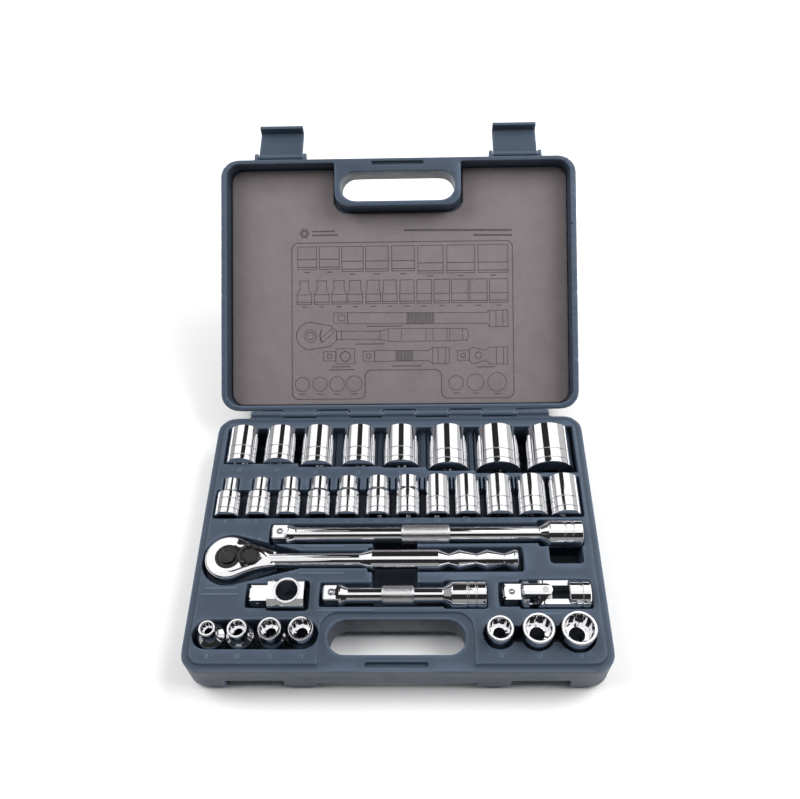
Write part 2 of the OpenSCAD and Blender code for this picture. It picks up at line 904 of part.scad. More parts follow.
module joint_cross() {
    color(steel)
        translate([joint_pin_x, joint_y, tool_z])
            difference() {
                cube(cross_w, center = true);
                cylinder(r = 2.55, h = 2 * over, center = true, $fn = 32);
                rotate([90, 0, 0])
                    cylinder(r = 2.5, h = 2 * over, center = true, $fn = 32);
            }
}

// The pin through the male yoke's ears and the cross.
module joint_long_pin() {
    color(steel)
        translate([joint_pin_x, joint_y, tool_z])
            cylinder(r = 2.5, h = 2 * joint_r - 1, center = true, $fn = 32);
}

// The two pins that carry the female yoke's ears, short of the long pin.
module joint_short_pins() {
    color(steel)
        for (side = [-90, 90])
            translate([joint_pin_x, joint_y, tool_z])
                rotate([side, 0, 0])
                    translate([0, 0, 3])
                        cylinder(r = 2.5, h = joint_r - 3.4, $fn = 32);
}

module joint_female_yoke() {
    len = 149 - joint_pin_x;
    color(chrome)
        translate([joint_pin_x, joint_y, tool_z])
            difference() {
                union() {
                    rotate([90, 180, 0])
                        ears(20);
                    along_x(0, 0, 0)
                        rotate_extrude($fn = 64)
                            polygon([
                                [0, 18.4], [joint_r - 0.8, 18.4], [joint_r, 19.2],
                                [joint_r, 27], [joint_r - 0.5, 27.5], [joint_r - 0.5, 28.5], [joint_r, 29],
                                [joint_r, len - 0.8], [joint_r - 0.8, len], [0, len]
                            ]);
                }
                rotate([90, 0, 0])
                    cylinder(r = 2.55, h = 2 * over, center = true, $fn = 32);
                translate([len - 14, -drive_sq / 2 - 0.08, -drive_sq / 2 - 0.08])
                    cube([20, drive_sq + 0.16, drive_sq + 0.16]);
            }
}

module joint_ball() {
    translate([joint_x0 + ball_x, joint_y, tool_z])
        detent_ball();
}

module joint_spring() {
    translate([joint_x0 + ball_x, joint_y, tool_z])
        detent_spring();
}

case_base();
case_lid();
foam_liner();
hinge_pin();
latch_left();
latch_right();
latch_pins();
large_socket(0);  // socket_20
large_socket(1);  // socket_21
large_socket(2);  // socket_22
large_socket(3);  // socket_23
large_socket(4);  // socket_24
large_socket(5);  // socket_27
large_socket(6);  // socket_30
large_socket(7);  // socket_32
small_socket(0);  // socket_08
small_socket(1);  // socket_09
small_socket(2);  // socket_10
small_socket(3);  // socket_11
small_socket(4);  // socket_12
small_socket(5);  // socket_13
small_socket(6);  // socket_14
small_socket(7);  // socket_15
small_socket(8);  // socket_16
small_socket(9);  // socket_17
small_socket(10);  // socket_18
small_socket(11);  // socket_19
standing_socket(0);  // standing_socket_08
standing_socket(1);  // standing_socket_10
standing_socket(2);  // standing_socket_12
standing_socket(3);  // standing_socket_13
standing_socket(4);  // standing_socket_14
standing_socket(5);  // standing_socket_17
standing_socket(6);  // standing_socket_19
long_extension();
long_extension_ball();
long_extension_spring();
short_extension();
short_extension_ball();
short_extension_spring();
ratchet_handle();
ratchet_cover();
ratchet_screws();
drive_gear();
release_button();
drive_ball();
pawl();
reverse_lever();
lever_ball();
lever_spring();
tee_adapter();
tee_ball();
tee_spring();
joint_male_yoke();
joint_cross();
joint_long_pin();
joint_short_pins();
joint_female_yoke();
joint_ball();
joint_spring();
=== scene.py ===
"""Socket wrench set in its blow-moulded case: the looks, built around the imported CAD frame.

Lengths below are millimetres unless a name says otherwise, and are turned into metres when a mesh is made.
"""

import json
import math

import bmesh
import bpy
import numpy as np
from mathutils import Matrix, Vector

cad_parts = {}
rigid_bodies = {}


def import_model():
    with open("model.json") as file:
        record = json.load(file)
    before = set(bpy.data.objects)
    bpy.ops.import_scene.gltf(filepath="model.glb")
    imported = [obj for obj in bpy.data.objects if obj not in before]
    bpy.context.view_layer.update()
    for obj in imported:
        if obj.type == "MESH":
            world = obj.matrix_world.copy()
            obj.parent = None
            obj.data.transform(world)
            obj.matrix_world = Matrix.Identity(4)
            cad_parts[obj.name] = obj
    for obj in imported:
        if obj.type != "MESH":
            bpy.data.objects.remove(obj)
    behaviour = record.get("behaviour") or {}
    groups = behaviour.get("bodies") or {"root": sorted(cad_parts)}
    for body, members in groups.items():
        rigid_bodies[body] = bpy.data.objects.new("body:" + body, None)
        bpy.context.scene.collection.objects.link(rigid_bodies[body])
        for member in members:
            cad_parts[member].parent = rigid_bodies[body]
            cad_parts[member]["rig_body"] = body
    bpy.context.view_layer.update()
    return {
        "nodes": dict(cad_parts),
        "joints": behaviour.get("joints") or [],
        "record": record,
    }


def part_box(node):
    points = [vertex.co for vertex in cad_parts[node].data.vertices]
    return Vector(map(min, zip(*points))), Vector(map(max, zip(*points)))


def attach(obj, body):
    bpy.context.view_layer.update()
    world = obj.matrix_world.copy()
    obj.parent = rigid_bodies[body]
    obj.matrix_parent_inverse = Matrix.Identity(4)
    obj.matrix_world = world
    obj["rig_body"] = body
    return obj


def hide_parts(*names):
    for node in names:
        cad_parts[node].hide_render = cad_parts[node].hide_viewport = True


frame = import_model()

MM = 0.001
ROUND = 96  # points round a lathe-turned piece
DRIVE_SQUARE = 12.7
LID_OPEN = 144.6  # degrees from closed


# ---------------------------------------------------------------- frame places


def box_mm(node):
    """A CAD node's lowest and highest corners, in millimetres."""
    low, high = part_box(node)
    return np.array(low) / MM, np.array(high) / MM


def body_of(node):
    """The body that a CAD node rides on."""
    return frame["nodes"][node]["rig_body"]


def joint_named(name):
    return next(j for j in frame["joints"] if j["name"] == name)


HINGE = np.array(joint_named("lid_hinge")["pos_m"]) / MM


def lid_to_world(points):
    """Points drawn on the closed lid, turned to where the lid stands open."""
    a = -math.radians(LID_OPEN)
    p = np.array(points, float).reshape(-1, 3) - [0, HINGE[1], HINGE[2]]
    y = p[:, 1] * math.cos(a) - p[:, 2] * math.sin(a)
    z = p[:, 1] * math.sin(a) + p[:, 2] * math.cos(a)
    return np.stack([p[:, 0], y + HINGE[1], z + HINGE[2]], axis=1)


# ---------------------------------------------------------------- mesh helpers


def add_mesh(name, verts, faces, material, sharp=32):
    """An object from points in millimetres, smooth except along edges sharper than the angle."""
    mesh = bpy.data.meshes.new(name)
    mesh.from_pydata([tuple(np.array(v) * MM) for v in verts], [], faces)
    mesh.update()
    return add_object(name, mesh, material, sharp)


def add_object(name, mesh, material, sharp=32):
    obj = bpy.data.objects.new(name, mesh)
    bpy.context.scene.collection.objects.link(obj)
    only_material(obj, material)
    smooth(mesh, sharp)
    return obj


def only_material(obj, material):
    obj.data.materials.clear()
    obj.data.materials.append(material)


def smooth(mesh, sharp=32):
    mesh.polygons.foreach_set("use_smooth", [True] * len(mesh.polygons))
    mesh.set_sharp_from_angle(angle=math.radians(sharp))


def loft(rings, closed=False, cap_start=False, cap_end=False):
    """Verts and faces through rings that all have the same number of points."""
    n = len(rings[0])
    verts = [p for ring in rings for p in ring]
    faces = []
    spans = len(rings) if closed else len(rings) - 1
    for k in range(spans):
        a, b = k * n, (k + 1) % len(rings) * n
        for i in range(n):
            j = (i + 1) % n
            faces.append((a + i, a + j, b + j, b + i))
    if cap_start:
        faces.append(tuple(reversed(range(n))))
    if cap_end:
        last = (len(rings) - 1) * n
        faces.append(tuple(range(last, last + n)))
    return verts, faces


def angles(n=ROUND):
    return np.arange(n) * 2 * math.pi / n


def circle_radius(r):
    return lambda t: np.full_like(t, r)


def polygon_radius(apothem, sides, turn=0.0, corner=None):
    """Radius of a regular polygon in each direction, its corners cut at the radius corner."""
    half = math.pi / sides

    def radius(t):
        off = (t + turn + half) % (2 * half) - half
        r = apothem / np.cos(off)
        return r if corner is None else np.minimum(r, corner)

    return radius


def twelve_point_radius(across_flats):
    """Radius of a twelve-point opening: two hexagons turned by 30 degrees."""
    one = polygon_radius(across_flats / 2, 6)
    two = polygon_radius(across_flats / 2, 6, turn=math.pi / 6)
    return lambda t: np.maximum(one(t), two(t))


def ring(radius, z, n=ROUND):
    t = angles(n)
    r = radius(t)
    return np.stack([r * np.cos(t), r * np.sin(t), np.full(n, z)], axis=1)


def place(points, origin, axis):
    """Points drawn along +Z, laid along the axis named and moved to the origin."""
    p = np.array(points, float)
    if axis == "y":
        p = p[:, [0, 2, 1]] * [-1, 1, 1]
    elif axis == "x":
        p = p[:, [2, 0, 1]]
    return p + np.array(origin)


def rounded_profile(points, radius, steps=3):
    """An open (r, z) profile with each inner corner rounded, and a ring close beside every corner."""
    out = [points[0]]
    for before, at, after in zip(points, points[1:], points[2:]):
        a, b, c = (np.array(p, float) for p in (before, at, after))
        la, lc = np.linalg.norm(a - b), np.linalg.norm(c - b)
        cut = min(radius, la * 0.35, lc * 0.35)
        start, end = b + (a - b) / la * cut, b + (c - b) / lc * cut
        out.append(tuple(b + (a - b) / la * cut * 1.35))
        for i in range(steps + 1):
            t = i / steps
            out.append(tuple((1 - t) ** 2 * start + 2 * t * (1 - t) * b + t * t * end))
        out.append(tuple(b + (c - b) / lc * cut * 1.35))
    out.append(points[-1])
    return out


def join(objects, name):
    """One object from several."""
    bpy.ops.object.select_all(action="DESELECT")
    for o in objects:
        o.select_set(True)
    bpy.context.view_layer.objects.active = objects[0]
    bpy.ops.object.join()
    objects[0].name = name
    objects[0].data.name = name
    return objects[0]


def apply_modifiers(obj):
    graph = bpy.context.evaluated_depsgraph_get()
    mesh = bpy.data.meshes.new_from_object(obj.evaluated_get(graph))
    obj.modifiers.clear()
    old, obj.data = obj.data, mesh
    bpy.data.meshes.remove(old)


def boolean(obj, other, operation):
    mod = obj.modifiers.new("cut", "BOOLEAN")
    mod.operation, mod.solver, mod.object = operation, "EXACT", other
    apply_modifiers(obj)
    bpy.data.objects.remove(other)


def stands_for(obj, *nodes):
    """The piece takes the place and the body of those CAD nodes, which it hides."""
    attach(obj, body_of(nodes[0]))
    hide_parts(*nodes)
    return obj


# ---------------------------------------------------------------- materials


def new_material(name):
    """A node material and short ways to add a node and to link two sockets."""
    mat = bpy.data.materials.new(name)
    mat.use_nodes = True
    tree = mat.node_tree
    shader = tree.nodes["Principled BSDF"]

    def add(kind, **values):
        node = tree.nodes.new(kind)
        for key, value in values.items():
            if key in node.inputs:
                node.inputs[key].default_value = value
            else:
                setattr(node, key, value)
        return node

    return mat, shader, add, tree.links.new


def position(add, link, scale=1.0):
    """Object coordinates in metres, times a scale on every axis."""
    coords = add("ShaderNodeTexCoord")
    mapping = add("ShaderNodeMapping")
    mapping.inputs["Scale"].default_value = (scale, scale, scale)
    link(coords.outputs["Object"], mapping.inputs["Vector"])
    return mapping.outputs["Vector"]


def noise(add, link, vector, scale, detail=4.0, roughness=0.55):
    node = add("ShaderNodeTexNoise", Scale=scale, Detail=detail, Roughness=roughness)
    link(vector, node.inputs["Vector"])
    return node.outputs["Fac"]


def ramp(add, link, value, stops):
    """A colour ramp from (place, colour) stops, a colour being a grey level or three numbers."""
    node = add("ShaderNodeValToRGB")
    elements = node.color_ramp.elements
    while len(elements) < len(stops):
        elements.new(0.5)
    for element, (place_at, colour) in zip(elements, stops):
        rgb = (colour,) * 3 if isinstance(colour, (int, float)) else colour
        element.position = place_at
        element.color = (*rgb, 1)
    link(value, node.inputs["Fac"])
    return node.outputs["Color"]


def bump(add, link, height, strength, distance, before=None):
    node = add("ShaderNodeBump", Strength=strength, Distance=distance)
    link(height, node.inputs["Height"])
    if before is not None:
        link(before, node.inputs["Normal"])
    return node.outputs["Normal"]


def plastic_material():
    """Blue-grey moulded polyethylene: a fine grain, faint flow clouds and rubbed high spots."""
    mat, shader, add, link = new_material("case_plastic")
    at = position(add, link)
    clouds = noise(add, link, at, 14, 3)
    colour = ramp(add, link, clouds, [(0.3, (0.030, 0.044, 0.066)), (0.7, (0.036, 0.051, 0.076))])
    wear = add("ShaderNodeNewGeometry").outputs["Pointiness"]
    edge = ramp(add, link, wear, [(0.5, 0.0), (0.6, 1.0)])
    mix = add("ShaderNodeMix", data_type="RGBA")
    link(edge, mix.inputs["Factor"])
    link(colour, mix.inputs["A"])
    mix.inputs["B"].default_value = (0.10, 0.14, 0.20, 1)
    link(mix.outputs["Result"], shader.inputs["Base Color"])
    grain = noise(add, link, at, 900, 2)
    rough = ramp(add, link, noise(add, link, at, 60, 4), [(0.3, 0.40), (0.7, 0.55)])
    link(rough, shader.inputs["Roughness"])
    link(bump(add, link, grain, 0.35, 0.0003), shader.inputs["Normal"])
    shader.inputs["Specular IOR Level"].default_value = 0.45
    return mat


def foam_material():
    """Warm grey closed-cell foam: fine cells and a slightly mottled skin."""
    mat, shader, add, link = new_material("liner_foam")
    at = position(add, link)
    cells = add("ShaderNodeTexVoronoi", Scale=1400.0)
    link(at, cells.inputs["Vector"])
    mottled = noise(add, link, at, 45, 6, 0.7)
    colour = ramp(add, link, mottled, [(0.3, (0.152, 0.132, 0.138)), (0.7, (0.182, 0.158, 0.165))])
    link(colour, shader.inputs["Base Color"])
    rough = ramp(add, link, mottled, [(0.3, 0.78), (0.7, 0.9)])
    link(rough, shader.inputs["Roughness"])
    link(bump(add, link, cells.outputs["Distance"], 0.4, 0.0004), shader.inputs["Normal"])
    return mat


def print_material():
    """Dark ink on foam, slightly broken where it missed the cells."""
    mat, shader, add, link = new_material("liner_print")
    at = position(add, link)
    broken = noise(add, link, at, 900, 3)
    colour = ramp(add, link, broken, [(0.35, (0.045, 0.042, 0.048)), (0.7, (0.10, 0.092, 0.098))])
    link(colour, shader.inputs["Base Color"])
    rough = ramp(add, link, broken, [(0.3, 0.7), (0.7, 0.85)])
    link(rough, shader.inputs["Roughness"])
    return mat


def chrome_material(name, low, high, grain=0.0):
    """Chrome plate: faint smears in the roughness and, on knurls, a fine grain."""
    mat, shader, add, link = new_material(name)
    at = position(add, link)
    smears = noise(add, link, at, 70, 5, 0.65)
    colour = ramp(add, link, smears, [(0.3, (0.80, 0.80, 0.82)), (0.7, (0.88, 0.88, 0.90))])
    link(colour, shader.inputs["Base Color"])
    rough = ramp(add, link, smears, [(0.35, low), (0.75, high)])
    link(rough, shader.inputs["Roughness"])
    shader.inputs["Metallic"].default_value = 1.0
    ripple = noise(add, link, at, 220 if grain else 55, 3)
    link(bump(add, link, ripple, 0.05 + grain, 0.0004), shader.inputs["Normal"])
    return mat


def black_material():
    """Black oxide on steel, with greyer rubbed edges."""
    mat, shader, add, link = new_material("black_oxide")
    at = position(add, link)
    wear = add("ShaderNodeNewGeometry").outputs["Pointiness"]
    colour = ramp(add, link, wear, [(0.52, (0.004, 0.004, 0.004)), (0.66, (0.03, 0.03, 0.031))])
    link(colour, shader.inputs["Base Color"])
    rough = ramp(add, link, noise(add, link, at, 150, 4), [(0.3, 0.20), (0.7, 0.30)])
    link(rough, shader.inputs["Roughness"])
    link(bump(add, link, noise(add, link, at, 800, 2), 0.15, 0.0002), shader.inputs["Normal"])
    return mat


def steel_material():
    """Plain turned steel with fine lines."""
    mat, shader, add, link = new_material("plain_steel")
    at = position(add, link)
    lines = noise(add, link, at, 400, 3)
    colour = ramp(add, link, lines, [(0.3, (0.50, 0.50, 0.51)), (0.7, (0.62, 0.62, 0.63))])
    link(colour, shader.inputs["Base Color"])
    link(ramp(add, link, lines, [(0.3, 0.22), (0.7, 0.36)]), shader.inputs["Roughness"])
    shader.inputs["Metallic"].default_value = 1.0
    return mat


def floor_material():
    mat, shader, add, link = new_material("pale_floor")
    at = position(add, link)
    colour = ramp(add, link, noise(add, link, at, 3), [(0.3, 0.86), (0.7, 0.89)])
    link(colour, shader.inputs["Base Color"])
    shader.inputs["Roughness"].default_value = 0.9
    shader.inputs["Specular IOR Level"].default_value = 0.1
    return mat


PLASTIC = plastic_material()
FOAM = foam_material()
INK = print_material()
CHROME = chrome_material("chrome_plate", 0.03, 0.07)
KNURL = chrome_material("knurled_chrome", 0.22, 0.32, grain=0.2)
BLACK = black_material()
STEEL = steel_material()


# ---------------------------------------------------------------- sockets


def wrench_diameter(size):
    """Outside diameter over the wrench end, as the CAD sockets have it."""
    return 1.26 * size + 2.6


def groove(r, z, depth=0.3, width=1.0):
    """Profile points of a fine turned groove."""
    return [(r, z), (r - depth, z + 0.3), (r - depth, z + width - 0.3), (r, z + width)]


def socket_rings(size, drive_r, length):
    """Rings of a twelve-point socket standing on its drive end, all the way round its wall."""
    wrench_r = wrench_diameter(size) / 2
    mouth_r = (size + 0.15) / 2 / math.cos(math.pi / 6)
    depth = min(length / 2, size * 0.6 + 3)
    bore_r = min(12.4, max(6.8, 0.68 * size)) / 2
    drive = polygon_radius(DRIVE_SQUARE / 2 + 0.075, 4)
    drive_mouth = polygon_radius(DRIVE_SQUARE / 2 + 0.6, 4)
    points = twelve_point_radius(size + 0.15)
    outer = [(drive_r - 2.2, 0), (drive_r, 0)]
    outer += groove(drive_r, 4.4) + groove(drive_r, 13.6)
    if drive_r - wrench_r > 0.2:
        neck = length - 12.5
        outer += [(drive_r, neck - 2.6), (wrench_r + 0.1, neck), (wrench_r, neck + 0.6)]
    outer += [(wrench_r, length - 0.5), (wrench_r - 0.5, length), (mouth_r + 0.2, length)]
    rings = [ring(drive, 0.6), ring(drive_mouth, 0)]
    rings += [ring(circle_radius(r), z) for r, z in rounded_profile(outer, 0.9)]
    rings += [
        ring(circle_radius(mouth_r + 0.05), length - 0.12),
        ring(points, length - 0.9),
        ring(points, length - depth),
        ring(circle_radius(bore_r), length - depth - 0.3),
        ring(circle_radius(bore_r), DRIVE_SQUARE + 1.3),
        ring(drive, DRIVE_SQUARE + 1.2),
    ]
    return rings


def make_socket(node):
    """A chrome socket in place of its CAD node, lying along +Y or standing."""
    size = int(node.split("_")[-1])
    low, high = box_mm(node)
    middle = (low + high) / 2
    if node.startswith("standing"):
        drive_r, length = (high[0] - low[0]) / 2, high[2] - low[2]
        origin, axis = (middle[0], middle[1], low[2]), "z"
    else:
        drive_r, length = (high[0] - low[0]) / 2, high[1] - low[1]
        origin, axis = (middle[0], low[1], middle[2]), "y"
    rings = [place(r, origin, axis) for r in socket_rings(size, drive_r, length)]
    verts, faces = loft(rings, closed=True)
    obj = add_mesh(node + "_chrome", verts, faces, CHROME)
    fix_normals(obj)
    return stands_for(obj, node)


def fix_normals(obj):
    bm = bmesh.new()
    bm.from_mesh(obj.data)
    bmesh.ops.recalc_face_normals(bm, faces=bm.faces)
    bm.to_mesh(obj.data)
    bm.free()


for node in sorted(frame["nodes"]):
    if "socket_" in node:
        make_socket(node)


# ---------------------------------------------------------------- bars, balls and knurls


def detent_ball(node):
    """A polished ball with fine rings of latitude, in place of its CAD node."""
    low, high = box_mm(node)
    r, middle = (high[2] - low[2]) / 2, (low + high) / 2
    rings = []
    bands = 24
    for i in range(1, bands):
        a = math.pi * i / bands
        rings.append(place(ring(circle_radius(r * math.sin(a)), r * math.cos(a), 48), middle, "z"))
    verts, faces = loft(rings, cap_start=True, cap_end=True)
    obj = add_mesh(node + "_polished", verts, faces, CHROME, sharp=60)
    fix_normals(obj)
    return stands_for(obj, node)


def tube(r, wire, origin, axis, material, name):
    """A ring of round wire, such as the lip staked around a ball."""
    rings = []
    for a in angles(12):
        rings.append(
            place(ring(circle_radius(r + wire * math.cos(a)), wire * math.sin(a), 48), origin, axis)
        )
    verts, faces = loft(rings, closed=True)
    obj = add_mesh(name, verts, faces, material, sharp=60)
    fix_normals(obj)
    return obj


def cutter(r, low, high, origin, axis, n=48):
    """A plain cylinder to cut a hole with."""
    rings = [place(ring(circle_radius(r), z, n), origin, axis) for z in (low, high)]
    verts, faces = loft(rings, cap_start=True, cap_end=True)
    obj = add_mesh("cutter", verts, faces, STEEL)
    fix_normals(obj)
    return obj


KNURL_ROWS, KNURL_PITCH, KNURL_DEPTH = 34, 1.5, 0.32  # diamonds round, along, and deep


def knurl(name, origin, start, end, r):
    """A diamond-knurled sleeve round a bar that lies along +X."""
    around, along = 200, int((end - start) / 0.42)
    rings = []
    for k in range(along + 1):
        x = start + (end - start) * k / along
        edge = min(1.0, (x - start) / 0.8, (end - x) / 0.8)
        t = angles(around)
        u = t * KNURL_ROWS / (2 * math.pi) + x / KNURL_PITCH
        v = t * KNURL_ROWS / (2 * math.pi) - x / KNURL_PITCH
        peak = np.abs((u % 1) - 0.5) + np.abs((v % 1) - 0.5)
        radius = r - 0.55 * (1 - edge) - KNURL_DEPTH * peak * edge
        rings.append(place(np.stack([radius * np.cos(t), radius * np.sin(t), np.full(around, x)], 1),
                           origin, "x"))
    verts, faces = loft(rings)
    obj = add_mesh(name, verts, faces, KNURL, sharp=70)
    fix_normals(obj)
    return obj


def square_tip(length, shoulder_r=8.6):
    """Rings of a male drive square along +Z: chamfered tip, flats with softened corners."""
    half = DRIVE_SQUARE / 2
    rings = []
    for z, apothem, corner in ((0, half - 1.5, 6.6), (0.15, half - 1.3, 7.0), (1.3, half - 0.1, 8.2),
                               (1.6, half, 8.45), (length - 0.4, half, 8.45)):
        rings.append(ring(polygon_radius(apothem, 4, corner=corner), z))
    rings.append(ring(polygon_radius(half, 4, corner=shoulder_r), length))
    return rings


EXTENSIONS = {
    "long_extension": dict(knurl=(106.5, 145, 8.2), flare=(218, 225.3)),
    "short_extension": dict(knurl=(46.5, 71, 7.9), flare=(93.7, 100.7)),
}
BAR_R = 6.25
BALL_X = 7  # a detent ball's distance from the end of its square


def extension_bar(node, spec):
    """A chrome extension: square, shoulder, bar, knurled sleeve, flare and grooved socket end."""
    low, high = box_mm(node)
    length = high[0] - low[0]
    end_r = (high[1] - low[1]) / 2
    origin = (low[0], (low[1] + high[1]) / 2, (low[2] + high[2]) / 2)
    half = DRIVE_SQUARE / 2 + 0.08
    k0, k1, knurl_r = spec["knurl"]
    f0, f1 = spec["flare"]
    profile = [(8.6, 13), (8.6, 14.5), (BAR_R, 19.5), (BAR_R, k0), (knurl_r - 0.7, k0 + 0.2),
               (knurl_r - 0.7, k1 - 0.2), (BAR_R, k1), (BAR_R, f0), (end_r, f1)]
    for start in (length - 15, length - 8.4):
        profile += groove(end_r, start, 0.45, 1.7)
    profile += [(end_r, length), (9.4, length)]
    rings = square_tip(13)
    rings += [ring(circle_radius(r), z) for r, z in rounded_profile(profile, 0.9)]
    rings += [
        ring(polygon_radius(half + 0.5, 4), length - 0.1),
        ring(polygon_radius(half, 4), length - 0.9),
        ring(polygon_radius(half, 4), length - 14),
    ]
    verts, faces = loft([place(r, origin, "x") for r in rings], cap_start=True, cap_end=True)
    bar = add_mesh(node + "_chrome", verts, faces, CHROME)
    fix_normals(bar)
    top = origin[2] + DRIVE_SQUARE / 2
    at = (low[0] + BALL_X, origin[1], origin[2] - 4.5)
    boolean(bar, cutter(2.45, 0, 20, at, "z"), "DIFFERENCE")
    smooth(bar.data)
    only_material(bar, CHROME)
    stands_for(bar, node)
    lip = tube(2.75, 0.22, (low[0] + BALL_X, origin[1], top), "z", CHROME, node + "_lip")
    sleeve = knurl(node + "_knurl", origin, k0, k1, knurl_r)
    for extra in (lip, sleeve):
        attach(extra, body_of(node))


for node, spec in EXTENSIONS.items():
    extension_bar(node, spec)
for node in frame["nodes"]:
    if node.endswith("_ball") and node != "lever_ball":
        detent_ball(node)


# ---------------------------------------------------------------- ratchet

HEAD = (-135.3, -25.5)
HEAD_R = 18.5
NECK_TIP, NECK_HALF = 38.0, 6.2
HEAD_TOP, HEAD_MIDDLE, HEAD_SLOPE_X = 45.5, 37.2, 21
LEVER = (-117, -25.5)
SHANK_START, SHANK_Z = -104, 38
ROOM_TOP = 40.3  # top of the room for the gear and the pawl
CAP_R = 1.0  # turned pieces are closed on their axis by a flat cap of this radius


def pear(inset, n_round=72, n_side=24):
    """Outline of the ratchet's head, round the middle of its disc."""
    r, half = HEAD_R - inset, NECK_HALF - inset
    lean = math.acos(min(1.0, (r - half) / NECK_TIP * 1.02))
    points = []
    for i in range(n_round + 1):
        a = lean + (2 * math.pi - 2 * lean) * i / n_round
        points.append((r * math.cos(a), r * math.sin(a)))
    start, end = points[-1], (NECK_TIP - inset, -half)
    for i in range(1, n_side + 1):
        t = i / n_side
        sag = 1.1 * math.sin(math.pi * t)
        points.append((start[0] + (end[0] - start[0]) * t, start[1] + (end[1] - start[1]) * t + sag))
    back = [(x, -y) for x, y in reversed(points[n_round + 1:])]
    return np.array(points + back)


def head_plate(low, high):
    """The pear-shaped head with rounded rims, its neck sloping down to the shank."""
    steps = [(1.6, low), (0.5, low + 0.4), (0, low + 1.4), (0, high - 1.8), (0.25, high - 1.0),
             (0.8, high - 0.35), (1.8, high)]
    rings = []
    for inset, z in steps:
        outline = pear(inset)
        slope = np.clip((outline[:, 0] - HEAD_SLOPE_X) / (NECK_TIP - HEAD_SLOPE_X), 0, 1) ** 1.3
        heights = HEAD_MIDDLE + (z - HEAD_MIDDLE) * (1 - 0.42 * slope)
        rings.append(np.column_stack([outline[:, 0] + HEAD[0], outline[:, 1] + HEAD[1], heights]))
    verts, faces = loft(rings, cap_start=True, cap_end=True)
    obj = add_mesh("ratchet_body", verts, faces, CHROME)
    fix_normals(obj)
    return obj


def ratchet_body():
    """Head, shank and notched grip of the ratchet in one forged piece."""
    low, _ = box_mm("ratchet_handle")
    body = head_plate(low[2], HEAD_TOP)
    profile = [(5.2, 0), (5.75, 1.2), (5.75, 74), (8.5, 83.5), (8.5, 137), (5.3, 145), (8.4, 153),
               (5.2, 167), (8.4, 175), (5.2, 189), (8.2, 196.6), (8.2, 199.4), (7.2, 200.2)]
    rings = [ring(circle_radius(r), z) for r, z in rounded_profile(profile, 0.5)]
    verts, faces = loft([place(r, (SHANK_START, HEAD[1], SHANK_Z), "x") for r in rings],
                        cap_start=True, cap_end=True)
    shank = add_mesh("shank", verts, faces, CHROME)
    fix_normals(shank)
    boolean(body, shank, "UNION")
    for r, bottom, top, at in (
        (10.4, 20, 60, HEAD), (13.6, 20, ROOM_TOP, HEAD),
        (6.4, 20, ROOM_TOP, LEVER), (3.05, 20, 60, LEVER),
    ):
        boolean(body, cutter(r, bottom, top, (at[0], at[1], 0), "z", 72), "DIFFERENCE")
    smooth(body.data)
    only_material(body, CHROME)
    return stands_for(body, "ratchet_handle")


def turned_disc(name, profile, at, material, n=96):
    """A turned piece standing along +Z from an open profile of (r, z)."""
    rings = [place(ring(circle_radius(max(r, CAP_R)), z, n), at, "z")
             for r, z in rounded_profile(profile, 0.8)]
    verts, faces = loft(rings, cap_start=True, cap_end=True)
    obj = add_mesh(name, verts, faces, material)
    fix_normals(obj)
    return obj


def sweep_bar(path, widths, low, high):
    """A flat bar with rounded top edges along a path of (x, y) points."""
    path = np.array(path, float)
    along = np.gradient(path, axis=0)
    along /= np.linalg.norm(along, axis=1)[:, None]
    side = np.stack([-along[:, 1], along[:, 0]], 1)
    section = [(-1, low), (-1, high - 0.8), (-0.85, high - 0.25), (-0.55, high), (0.55, high),
               (0.85, high - 0.25), (1, high - 0.8), (1, low)]
    rings = []
    for p, s, w in zip(path, side, widths):
        rings.append(np.array([(*(p + s * k * w), z) for k, z in section]))
    return loft(rings, cap_start=True, cap_end=True)


def reverse_lever():
    """Hub, curved thumb bar with its two knobs, and the swept guard behind the hub."""
    at = (LEVER[0], LEVER[1], 0)
    hub = turned_disc("lever", [(0, 45.85), (7.4, 45.85), (7.4, 48.1), (5.6, 48.6), (5.2, 48.2),
                                (0, 48.2)], at, BLACK)
    stem = turned_disc("stem", [(0, 31.2), (2.95, 31.2), (2.95, 46.5), (0, 46.5)], at, BLACK, 32)
    parts = [hub, stem]
    turn, bar_r = -14, 8.4
    bar = [math.radians(a + turn) for a in np.linspace(118, 242, 26)]
    path = [(LEVER[0] + bar_r * math.cos(a), LEVER[1] + bar_r * math.sin(a)) for a in bar]
    widths = [1.5 + 0.3 * abs(k) for k in np.linspace(-1, 1, 26)]
    verts, faces = sweep_bar(path, widths, 46.0, 49.3)
    parts.append(add_mesh("thumb_bar", verts, faces, BLACK))
    for a in (bar[0], bar[-1]):
        knob_at = (LEVER[0] + bar_r * math.cos(a), LEVER[1] + bar_r * math.sin(a), 0)
        parts.append(turned_disc("knob", [(0, 46.0), (2.3, 46.0), (2.3, 49.2), (1.2, 49.9), (0, 49.9)],
                                 knob_at, BLACK, 40))
    wing = [math.radians(a + turn) for a in np.linspace(112, 30, 18)]
    path = [(LEVER[0] + (8.6 + 2.6 * k) * math.cos(a), LEVER[1] + 8.6 * math.sin(a))
            for k, a in zip(np.linspace(0, 1, 18), wing)]
    widths = [2.2 * (1 - 0.75 * k) for k in np.linspace(0, 1, 18)]
    verts, faces = sweep_bar(path, widths, 45.9, 47.6)
    parts.append(add_mesh("wing", verts, faces, BLACK))
    for part in parts:
        fix_normals(part)
    lever = join(parts, "reverse_lever_black")
    return stands_for(lever, "reverse_lever")


